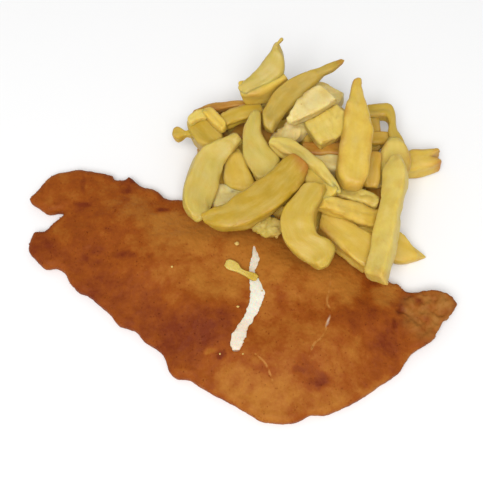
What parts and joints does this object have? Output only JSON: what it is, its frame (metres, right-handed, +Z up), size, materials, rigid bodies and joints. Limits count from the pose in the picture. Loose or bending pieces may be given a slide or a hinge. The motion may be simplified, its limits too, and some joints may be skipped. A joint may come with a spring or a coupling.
{
  "type": "fish and chips",
  "caption": "Breadcrumbed fried fish fillet with a forked tail end and a split in its crust, lying flat beside a heap of thick-cut chips that leans on its back edge.",
  "frame": {"origin": "on the table, under the middle of the bounding box of the food as it lies", "axes": "+X along the fillet from its forked tail end to its head end, +Y from the fillet towards the heap of chips at the back, +Z up"},
  "size_m": [0.2311, 0.2028, 0.0556],
  "materials": {
    "fried_crumb": null,
    "fried_potato": null,
    "fried_potato_scrap": "soft golden fried potato"
  },
  "bodies": {
    "root": {"fish": "fried_crumb", "chips": "fried_potato", "chip_scrap": "fried_potato_scrap"}
  },
  "joints": []
}
